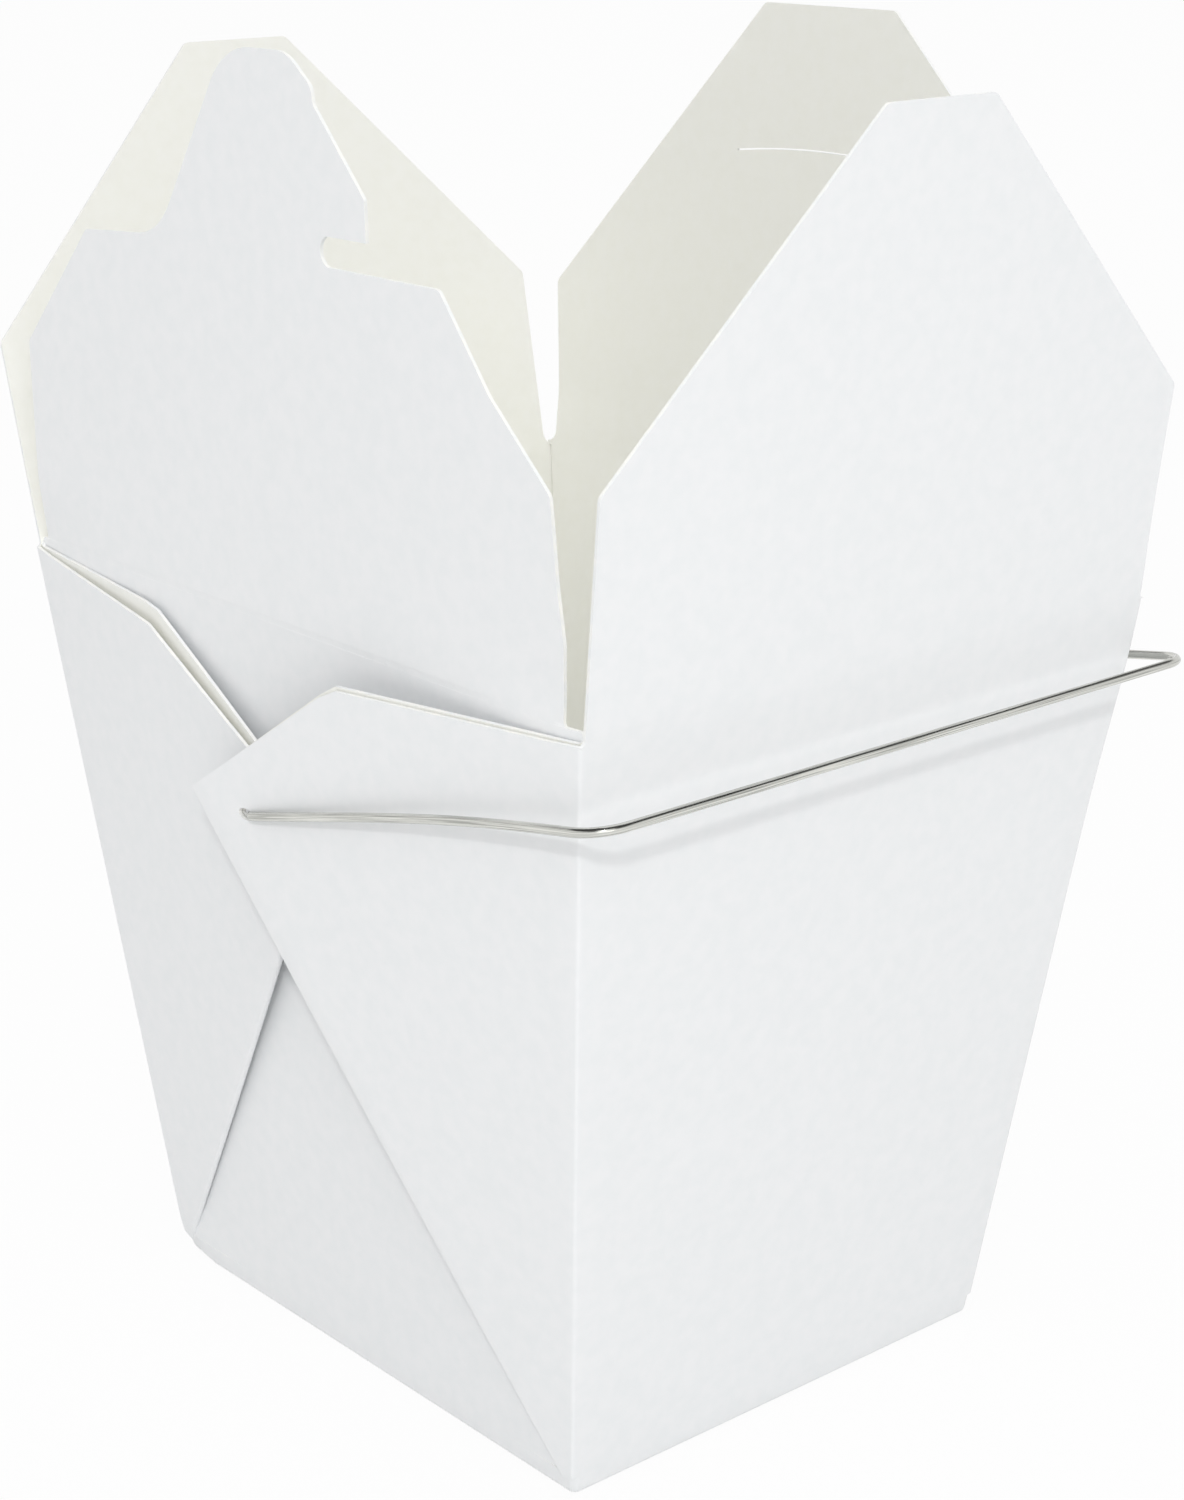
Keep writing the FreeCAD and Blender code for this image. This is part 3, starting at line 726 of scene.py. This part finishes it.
def settle(points):
    """Shifts points near some corners a little, as the hand-folded box is out of true."""
    carton = settings().carton
    x, y, z = points[..., 0], points[..., 1], points[..., 2]
    height = hinge("slot_flap_fold")[2]
    share = np.clip(z / height, 0, 1)
    wide = (carton.base_width * (1 - share) + carton.rim_width * share) / 2
    deep = (carton.base_length * (1 - share) + carton.rim_length * share) / 2
    right, back = (np.clip((1 + v / reach) / 2, 0, 1) for v, reach in ((x, wide), (y, deep)))
    foot = 1 - share
    moved = points.copy()
    for axis in (0, 1):
        moved[..., axis] -= carton.back_left[axis] * (1 - right) * back * foot
    moved[..., 0] -= carton.front_right_in * right * (1 - back) * foot
    level = np.exp(-((z - carton.bulge_height) / carton.bulge_spread) ** 2)
    beside = np.exp(-((x - wide) ** 2 + (y + deep) ** 2) / carton.bulge_width ** 2)
    moved[..., 0] += carton.bulge * level * beside
    corner = np.array([-carton.base_width / 2, carton.base_length / 2, 0])
    away = np.linalg.norm(points - corner, axis=-1)
    crushed = carton.crush * np.exp(-(away / carton.crush_reach) ** 2)[..., None]
    inward_and_up = [1, -1, 0.7]
    return moved + crushed * inward_and_up


# Flaps

def rounded_outline(corners, steps=8):
    """An outline from corners (across, up, radius), with an arc at each rounded corner."""
    points = []
    for i, (across, up, radius) in enumerate(corners):
        spot = np.array([across, up])
        if not radius:
            points.append(spot)
            continue
        back = unit(np.array(corners[i - 1][:2]) - spot)
        ahead = unit(np.array(corners[(i + 1) % len(corners)][:2]) - spot)
        points += arc_points(*arc_between(spot, back, ahead, radius), steps)
    return points


def inside(points, loop):
    """Which points lie inside a closed loop."""
    x, y = points[:, 0], points[:, 1]
    hit = np.zeros(len(points), bool)
    for (ax, ay), (bx, by) in zip(loop, np.roll(loop, -1, 0)):
        if ay != by:
            hit ^= ((ay > y) != (by > y)) & (x < (bx - ax) * (y - ay) / (by - ay) + ax)
    return hit


def near_loop(points, loop, distance):
    """Which points lie nearer to a loop than a distance."""
    close = np.zeros(len(points), bool)
    for a, b in zip(loop, np.roll(loop, -1, 0)):
        run = b - a
        share = np.clip(((points - a) @ run) / max(run @ run, 1e-12), 0, 1)
        close |= np.linalg.norm(points - a - share[:, None] * run, axis=1) < distance
    return close


def flat_mesh(loops, rows, spacing):
    """Triangles over an outline, without its holes, with points on the given rows."""
    outer = np.array(loops[0])
    low, high = outer.min(0), outer.max(0)
    columns = np.linspace(low[0], high[0], round((high[0] - low[0]) / spacing) + 1)
    spots = np.array([[x, y] for y in rows for x in columns])
    side_room, hole_room, same = spacing * 0.3, spacing * 0.2, 1e-7
    keep = inside(spots, outer) & ~near_loop(spots, outer, side_room)
    for hole in loops[1:]:
        keep &= ~inside(spots, np.array(hole)) & ~near_loop(spots, np.array(hole), hole_room)
    points, edges = [], []
    for loop in loops:
        first = len(points)
        points += [Vector(p) for p in split_long(loop, spacing)]
        count = len(points) - first
        edges += [(first + i, first + (i + 1) % count) for i in range(count)]
    points += [Vector(p) for p in spots[keep]]
    places, _, faces, *_ = delaunay_2d_cdt(points, edges, [], 0, same)
    places = np.array([tuple(p) for p in places])
    faces = np.array([list(f) for f in faces])
    centres = places[faces].mean(1)
    wanted = inside(centres, outer)
    for hole in loops[1:]:
        wanted &= ~inside(centres, np.array(hole))
    return places, faces[wanted]


def split_long(loop, spacing, closed=True):
    """The loop, or an open line, with extra points on its long sides."""
    points = []
    following = np.roll(np.array(loop), -1, 0)
    sides = list(zip(loop, following))
    for a, b in sides if closed else sides[:-1]:
        steps = max(1, round(np.linalg.norm(b - a) / spacing))
        points += [a + (b - a) * k / steps for k in range(steps)]
    return points if closed else [*points, loop[-1]]


def build_flap(name, outline, place, holes, crease):
    """A flap as a sheet whose middle follows place(across, up), with a groove at its score."""
    carton = settings().carton
    half, spacing, step = carton.score_half, 2.6 * MM, 0.02 * MM
    # Rows stand close together at the score, where the board bends.
    rows = [half * k / 5 for k in range(-4, 6)] + [half * 1.6]
    rows += list(np.arange(half * 3, max(p[1] for p in outline), spacing))
    flat, faces = flat_mesh([outline, *holes], rows, spacing)
    x, y = flat[:, 0], flat[:, 1]
    middle = place(x, y)
    normal = unit(np.cross(place(x + step, y) - place(x - step, y),
                           place(x, y + step) - place(x, y - step)))
    a, b, c = flat[faces[0]]
    if np.cross(b - a, c - a) < 0:
        faces = faces[:, ::-1]
    count = len(flat)
    sides = np.concatenate([faces[:, [0, 1]], faces[:, [1, 2]], faces[:, [2, 0]]])
    once = {}
    for a, b in sides.tolist():
        key = (min(a, b), max(a, b))
        once[key] = None if key in once else (a, b)
    rim = [[b, a, a + count, b + count] for a, b in filter(None, once.values())]
    thick = normal * carton.board / 2
    groove = crease * carton.groove * np.exp(-(y / half) ** 2 * 3)
    shells = Shells()
    shells.add([middle + thick - normal * groove[:, None], middle - thick],
               faces.tolist() + (faces[:, ::-1] + count).tolist() + rim,
               [OUTSIDE] * len(faces) + [INSIDE] * len(faces) + [CUT_EDGE] * len(rim))
    return shells.make(name)


def flap_place(base, lean, wall_lean, press):
    """How a flap stands: straight up from its wall, turned at the score, pressed beside it."""
    outward = unit(base * [1, 1, 0])
    across = np.cross([0, 0, 1], outward)
    half, steps = settings().carton.score_half, 24

    def lean_at(height):
        return wall_lean + (lean - wall_lean) * smooth((height + half) / (2 * half))

    def place(x, y):
        up, out = np.zeros_like(y), np.zeros_like(y)
        for k in range(steps):
            turn = lean_at(y * (k + 0.5) / steps)
            up += y / steps * np.cos(turn)
            out += y / steps * np.sin(turn)
        if press:
            up += press(x, y) * np.sin(lean_at(y))
            out -= press(x, y) * np.cos(lean_at(y))
        return settle(base + across * x[:, None] + outward * out[:, None]
                      + np.array([0, 0, 1]) * up[:, None])

    return place


def end_flap_press(end):
    """How an end flap's foot is pressed in beside the corners, as its wall is."""
    front, back = Corner(end, -1), Corner(end, 1)
    half_rim, fade_height = settings().carton.rim_length / 2, settings().webs.press_fade

    def press(x, y):
        fade = 1 - smooth(y / fade_height)
        beside_front = front.press(half_rim + end * x, front.end_top)
        return (beside_front + back.press(half_rim - end * x, back.end_top)) * fade

    return press


def flap_side(foot, side, height, sizes):
    """Corners of one side of a flap, from the slit's foot up to the shoulder."""
    low, turn = -settings().carton.score_half, sizes.slit_rounding
    return [(foot + turn, low, 0), (foot, low, turn * SLIT_FILL), (side, height, sizes.rounding)]


def wide_slit_side(foot, side, height, bottom, sizes):
    """The same beside the wide slit, whose round bottom lies above the score."""
    low, turn = -settings().carton.score_half, sizes.wide_rounding
    return [(foot + turn, low, 0), (foot + turn, bottom, 0), (foot, bottom, turn * SLIT_FILL),
            (side, height, sizes.rounding)]


def other_side(corners):
    """The corners of a flap's right side turned into those of its left side."""
    return [(-x, y, r) for x, y, r in reversed(corners)]


def raise_flap(name, outline, lean, wall_lean, press=None, holes=(), crease=1):
    """Makes a flap that turns about its score, with its foot held by the wall."""
    base, half = hinge(name + "_fold"), settings().carton.score_half
    place = flap_place(base, lean, wall_lean, press)
    made = build_flap(name + "_board", rounded_outline(outline), place, holes, crease)
    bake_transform(made)
    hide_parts(name)


class FOODBOX_OT_carton(bpy.types.Operator):
    """Folds the carton: base, walls and corner webs, with the holes for the wire"""

    bl_idname = "foodbox.carton"
    bl_label = "Fold carton"

    def execute(self, context):
        corners = {(end, side): Corner(end, side) for end, side in ROUND}
        ring = walls_ring(corners)
        base = tray(ring[0, :, 2].max())
        shells, board = Shells(), settings().carton.board
        shells.add_grid(settle(ring), board)
        shells.add_grid(settle(base), board, cap=True)
        made = shells.make("folded_carton")
        for end in (-1, 1):
            self.pierce(made, end, settings().bail)
        shade(made.data)
        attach(made, "carton")
        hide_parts("carton")
        return {"FINISHED"}

    def pierce(self, made, end, bail):
        """Cuts a hole for one end of the wire, torn longer toward the back."""
        depth, wall, faces = 16 * MM, 50 * MM, len(made.data.polygons)
        worn = bail.hole * bail.hole_wear * 0.8
        bpy.ops.mesh.primitive_cylinder_add(vertices=20, radius=bail.hole, depth=depth)
        punch = bpy.context.object
        punch.data.transform(Matrix.Rotation(math.pi / 2, 4, "Y"))
        punch.data.transform(Matrix.Diagonal((1, 1 + bail.hole_wear, 1, 1)))
        punch.location = Vector(hinge("bail_swing")) + Vector((end * wall, worn, 0))
        punch.data.materials.append(made.data.materials[CUT_EDGE])
        cut = made.modifiers.new("Hole", "BOOLEAN")
        cut.object, cut.solver, cut.operation = punch, "EXACT", "DIFFERENCE"
        cut.material_mode = "TRANSFER"
        apply_modifiers(made)
        bpy.data.objects.remove(punch)
        if len(made.data.polygons) <= faces:
            raise RuntimeError("a hole for the wire wasn't cut")


class FOODBOX_OT_plain_flaps(bpy.types.Operator):
    """Raises the two plain flaps"""

    bl_idname = "foodbox.plain_flaps"
    bl_label = "Raise plain flaps"

    def execute(self, context):
        sizes, wall_lean = settings().flaps, leans()[1]
        shoulder = sizes.plain_shoulder
        tip = (sizes.plain_tip / 2, sizes.plain_length, sizes.rounding)
        front_right, front_left, back_left = (
            flap_side(*side, shoulder, sizes) + [tip]
            for side in (sizes.front_right, sizes.front_left, sizes.back_left))
        back_right = wide_slit_side(*sizes.back_right, shoulder, sizes.wide_bottom[0], sizes)
        raise_flap("front_flap", front_right + other_side(front_left), sizes.front_lean, wall_lean)
        raise_flap("back_flap", back_left + other_side([*back_right, tip]), sizes.back_lean,
                   wall_lean)
        return {"FINISHED"}


class FOODBOX_OT_slot_flap(bpy.types.Operator):
    """Raises the end flap with the lock slot"""

    bl_idname = "foodbox.slot_flap"
    bl_label = "Raise slot flap"

    def execute(self, context):
        sizes = settings().flaps
        tip = (sizes.slot_tip / 2, sizes.slot_length, sizes.rounding)
        back = wide_slit_side(*sizes.slot_back, sizes.slot_shoulder, sizes.wide_bottom[1], sizes)
        front = flap_side(*sizes.slot_front, sizes.slot_shoulder, sizes)
        spots = np.linspace(-1, 1, 17)
        slot = [np.array([sizes.slot_span / 2 * spot,
                          sizes.slot_height + sizes.slot_rise * (1 - spot ** 2)])
                for spot in spots]
        slot += [point + [0, sizes.slot_width] for point in reversed(slot)]
        raise_flap("slot_flap", [*back, tip, *other_side([*front, tip])], sizes.end_lean,
                   leans()[0], end_flap_press(1), holes=[slot])
        return {"FINISHED"}


class FOODBOX_OT_tongue_flap(bpy.types.Operator):
    """Raises the end flap with the locking tongue"""

    bl_idname = "foodbox.tongue_flap"
    bl_label = "Raise tongue flap"

    def execute(self, context):
        sizes = settings().flaps
        base, soft, top = sizes.tongue_base, sizes.rounding, sizes.tongue_length
        notch_end, notch_top = sizes.notch[0], base + sizes.notch[1]
        notch_soft = sizes.notch[1] * 0.47
        foot, hip, shoulder = flap_side(*sizes.tongue_front, sizes.tongue_shoulder, sizes)
        outline = [
            foot, hip, (*sizes.tongue_hip, 3 * soft), (*sizes.tongue_waist, 3 * soft), shoulder,
            (*sizes.tongue_bend, 6 * soft), (sizes.tongue_front_top, base, soft),
            (notch_end, base, notch_soft), (notch_end, notch_top, notch_soft),
            (sizes.hook[0], notch_top, 0), (sizes.hook[0], notch_top + sizes.hook[1], soft / 2),
            (*sizes.neck, soft), (*sizes.cheek, 2 * soft),
            (sizes.tip[0], top, sizes.tip_rounding[0]), (sizes.tip[1], top, sizes.tip_rounding[1]),
            (-sizes.back_slope, base, sizes.sweep),
            (-sizes.tongue_back_top[0], sizes.tongue_back_top[1], soft),
            *other_side(flap_side(*sizes.tongue_back, sizes.tongue_back_shoulder, sizes))]
        raise_flap("tongue_flap", outline, sizes.end_lean, leans()[0], end_flap_press(-1),
                   crease=sizes.tongue_crease)
        return {"FINISHED"}


def wire_tree(material):
    """Geometry nodes that sweep a round wire along a path and mark its length and turn."""
    tree = bpy.data.node_groups.new("swept_wire", "GeometryNodeTree")
    tree.interface.new_socket("Geometry", in_out="INPUT", socket_type="NodeSocketGeometry")
    diameter, step = (tree.interface.new_socket(name, in_out="INPUT",
                                                socket_type="NodeSocketFloat").identifier
                      for name in ("Diameter", "Step"))
    tree.interface.new_socket("Geometry", in_out="OUTPUT", socket_type="NodeSocketGeometry")
    given = add_node(tree, "NodeGroupInput", (-900, 0))
    path = add_node(tree, "GeometryNodeMeshToCurve", (-700, 0),
                    {"Mesh": given.outputs["Geometry"]})
    even = add_node(tree, "GeometryNodeResampleCurve", (-500, 0),
                    {"Curve": path.outputs["Curve"], "Length": given.outputs["Step"]},
                    mode="LENGTH")
    spot = add_node(tree, "GeometryNodeSplineParameter", (-500, -250))
    marked = add_node(tree, "GeometryNodeStoreNamedAttribute", (-300, 0),
                      {"Geometry": even.outputs["Curve"], "Name": "wire_length",
                       "Value": spot.outputs["Length"]}, data_type="FLOAT", domain="POINT")
    radius = add_node(tree, "ShaderNodeMath", (-500, 250),
                      {0: given.outputs["Diameter"], 1: 0.5}, operation="MULTIPLY")
    ring = add_node(tree, "GeometryNodeCurvePrimitiveCircle", (-300, 250),
                    {"Radius": radius.outputs[0], "Resolution": 20})
    turn = add_node(tree, "GeometryNodeSplineParameter", (-300, 450))
    profile = add_node(tree, "GeometryNodeStoreNamedAttribute", (-100, 250),
                       {"Geometry": ring.outputs["Curve"], "Name": "wire_turn",
                        "Value": turn.outputs["Factor"]}, data_type="FLOAT", domain="POINT")
    swept = add_node(tree, "GeometryNodeCurveToMesh", (100, 0),
                     {"Curve": marked.outputs["Geometry"],
                      "Profile Curve": profile.outputs["Geometry"], "Fill Caps": True})
    real = add_node(tree, "GeometryNodeRealizeInstances", (300, 0),
                    {"Geometry": swept.outputs["Mesh"]})
    painted = add_node(tree, "GeometryNodeSetMaterial", (500, 0),
                       {"Geometry": real.outputs["Geometry"], "Material": material})
    add_node(tree, "NodeGroupOutput", (700, 0), {"Geometry": painted.outputs["Geometry"]})
    return tree, diameter, step


def bail_path(bail):
    """The wire's middle line, from one clinched end round to the other, a little out of true."""
    half = [(bail.hook_place, bail.hook_length, 0), (bail.hook_place, 0, bail.hook_bend),
            (bail.arm_root, 0, bail.hook_bend), (bail.arm_tip_right, -bail.arm, bail.bend)]
    loop = half + other_side(half)
    loop[4] = (-bail.arm_tip, -bail.arm, bail.bend)
    forward = np.array([0, math.cos(bail.lean), -math.sin(bail.lean)])
    lift = np.array([0, math.sin(bail.lean), math.cos(bail.lean)])
    path = []
    for x, y in split_long(rounded_outline(loop), 3 * MM, closed=False):
        share = np.clip(-y / bail.arm, 0, 1)
        rise = bail.arm_bow * math.sin(math.pi * share ** 1.3)
        rise += bail.right_up * share * (1 + x / bail.arm_tip) / 2
        path.append(hinge("bail_swing") + np.array([x, 0, 0]) + forward * y + lift * rise)
    return path


class FOODBOX_OT_bail(bpy.types.Operator):
    """Bends the wire bail through its holes"""

    bl_idname = "foodbox.bail"
    bl_label = "Bend bail"

    def execute(self, context):
        bail, finish = settings().bail, settings().finishes
        points = bail_path(bail)
        edges = [(i, i + 1) for i in range(len(points) - 1)]
        mesh = bpy.data.meshes.new("bail_path")
        mesh.from_pydata([tuple(point) for point in points], edges, [])
        made = bpy.data.objects.new("bail_wire", mesh)
        context.scene.collection.objects.link(made)
        steel = wire_material("galvanised_steel_wire", finish.wire, finish.wire_scratch)
        sweep = made.modifiers.new("Sweep", "NODES")
        sweep.node_group, diameter, step = wire_tree(steel)
        sweep[diameter] = bail.wire
        sweep[step] = bail.step
        apply_modifiers(made)
        shade(made.data)
        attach(made, "wire_handle")
        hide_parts("wire_handle")
        return {"FINISHED"}


class FOODBOX_OT_stage(bpy.types.Operator):
    """Lays the pale floor and sets the soft light and the camera"""

    bl_idname = "foodbox.stage"
    bl_label = "Set stage"

    def execute(self, context):
        scene, studio = context.scene, settings().studio
        reach, sunk = 6.0, -0.05 * MM
        mesh = bpy.data.meshes.new("floor")
        mesh.from_pydata([(-reach, -reach, sunk), (reach, -reach, sunk), (reach, reach, sunk),
                          (-reach, reach, sunk)], [], [(0, 1, 2, 3)])
        mesh.materials.append(floor_material("pale_floor", settings().finishes.floor,
                                             studio.floor_glow))
        floor = bpy.data.objects.new("floor", mesh)
        scene.collection.objects.link(floor)
        scene.world = self.sky(studio)
        self.lamp(scene, studio, "key")
        self.lamp(scene, studio, "soft")
        self.camera(scene, studio)
        scene.view_settings.view_transform = "Standard"
        return {"FINISHED"}

    def sky(self, studio):
        """A pale light all round, strongest from above; the eye sees it as white.

        Shiny things see a bright band near the ground and a dark flag above it instead, which
        draws a dark line along the wire.
        """
        world = bpy.data.worlds.new("studio_sky")
        world.use_nodes = True
        tree = world.node_tree
        tree.nodes.clear()
        way = add_node(tree, "ShaderNodeTexCoord", (-1000, 0)).outputs["Generated"]
        height = add_node(tree, "ShaderNodeSeparateXYZ", (-800, 0), {"Vector": way}).outputs["Z"]
        light = add_node(tree, "ShaderNodeMapRange", (-600, 100),
                         {"Value": height, "To Min": studio.sky, "To Max": studio.sky_top})
        flags = add_node(tree, "ShaderNodeMapRange", (-600, -200),
                         {"Value": height, "From Min": studio.flag, "From Max": studio.flag_top,
                          "To Min": studio.flag_light, "To Max": studio.flag_dark})
        rays = add_node(tree, "ShaderNodeLightPath", (-600, 400))
        soft, white, mirror = (
            add_node(tree, "ShaderNodeBackground", (-200, y), {"Color": WHITE, "Strength": power})
            for y, power in ((100, light.outputs["Result"]), (-100, 1),
                             (-300, flags.outputs["Result"])))
        glossy = add_node(tree, "ShaderNodeMixShader", (0, 0),
                          {0: rays.outputs["Is Glossy Ray"], 1: soft.outputs["Background"],
                           2: mirror.outputs["Background"]})
        seen = add_node(tree, "ShaderNodeMixShader", (200, 0),
                        {0: rays.outputs["Is Camera Ray"], 1: glossy.outputs["Shader"],
                         2: white.outputs["Background"]})
        add_node(tree, "ShaderNodeOutputWorld", (400, 0), {"Surface": seen.outputs["Shader"]})
        return world

    def lamp(self, scene, studio, name):
        """A square lamp that looks at the box."""
        azimuth, elevation, distance, size, power = (
            getattr(studio, name + item)
            for item in ("_azimuth", "_elevation", "_distance", "_size", "_power"))
        light = bpy.data.lights.new(name + "_lamp", "AREA")
        light.energy, light.size = power, size
        lamp = bpy.data.objects.new(name + "_lamp", light)
        back = way_out(azimuth, elevation)
        lamp.location = Vector((0, 0, studio.aim)) + back * distance
        lamp.rotation_euler = back.to_track_quat("Z", "Y").to_euler()
        scene.collection.objects.link(lamp)

    def camera(self, scene, studio):
        """A camera at the photograph's angle."""
        roll, back = studio.camera_roll, way_out(studio.camera_azimuth, studio.camera_elevation)
        right = Vector((0, 0, 1)).cross(back).normalized()
        up = back.cross(right)
        turned = right * math.cos(roll) + up * math.sin(roll)
        up = up * math.cos(roll) - right * math.sin(roll)
        data = bpy.data.cameras.new("camera")
        data.sensor_width, data.lens = 36, studio.focal / MM
        data.clip_start, data.clip_end = 0.01, 50
        camera = bpy.data.objects.new("camera", data)
        camera.matrix_world = Matrix((turned, up, back)).transposed().to_4x4()
        camera.location = studio.camera_place
        scene.collection.objects.link(camera)
        scene.camera = camera


OPERATORS = (FOODBOX_OT_carton, FOODBOX_OT_plain_flaps, FOODBOX_OT_slot_flap,
             FOODBOX_OT_tongue_flap, FOODBOX_OT_bail, FOODBOX_OT_stage)


class FOODBOX_PT_panel(bpy.types.Panel):
    """The box's settings and steps"""

    bl_idname = "FOODBOX_PT_panel"
    bl_label = "Food Box"
    bl_space_type = "VIEW_3D"
    bl_region_type = "UI"
    bl_category = "Food Box"

    def draw(self, context):
        for part in ("carton", "webs", "flaps", "bail", "finishes", "studio"):
            group = getattr(settings(), part)
            column = self.layout.column(align=True)
            column.label(text=part.capitalize())
            for name in group.bl_rna.properties.keys():
                if name not in ("rna_type", "name"):
                    column.prop(group, name)
        for operator in OPERATORS:
            self.layout.operator(operator.bl_idname)


CLASSES = (CartonSizes, WebSizes, FlapSizes, BailSizes, Finishes, Studio, FoodBox,
           *OPERATORS, FOODBOX_PT_panel)


def register():
    for item in CLASSES:
        bpy.utils.register_class(item)
    bpy.types.Scene.food_box = PointerProperty(type=FoodBox, name="Food box",
                                               description="Settings of the food box")


def unregister():
    del bpy.types.Scene.food_box
    for item in reversed(CLASSES):
        bpy.utils.unregister_class(item)


def main():
    """Builds the box and its stage."""
    register()
    for operator in OPERATORS:
        group, name = operator.bl_idname.split(".")
        getattr(getattr(bpy.ops, group), name)()


if __name__ == "__main__":
    main()
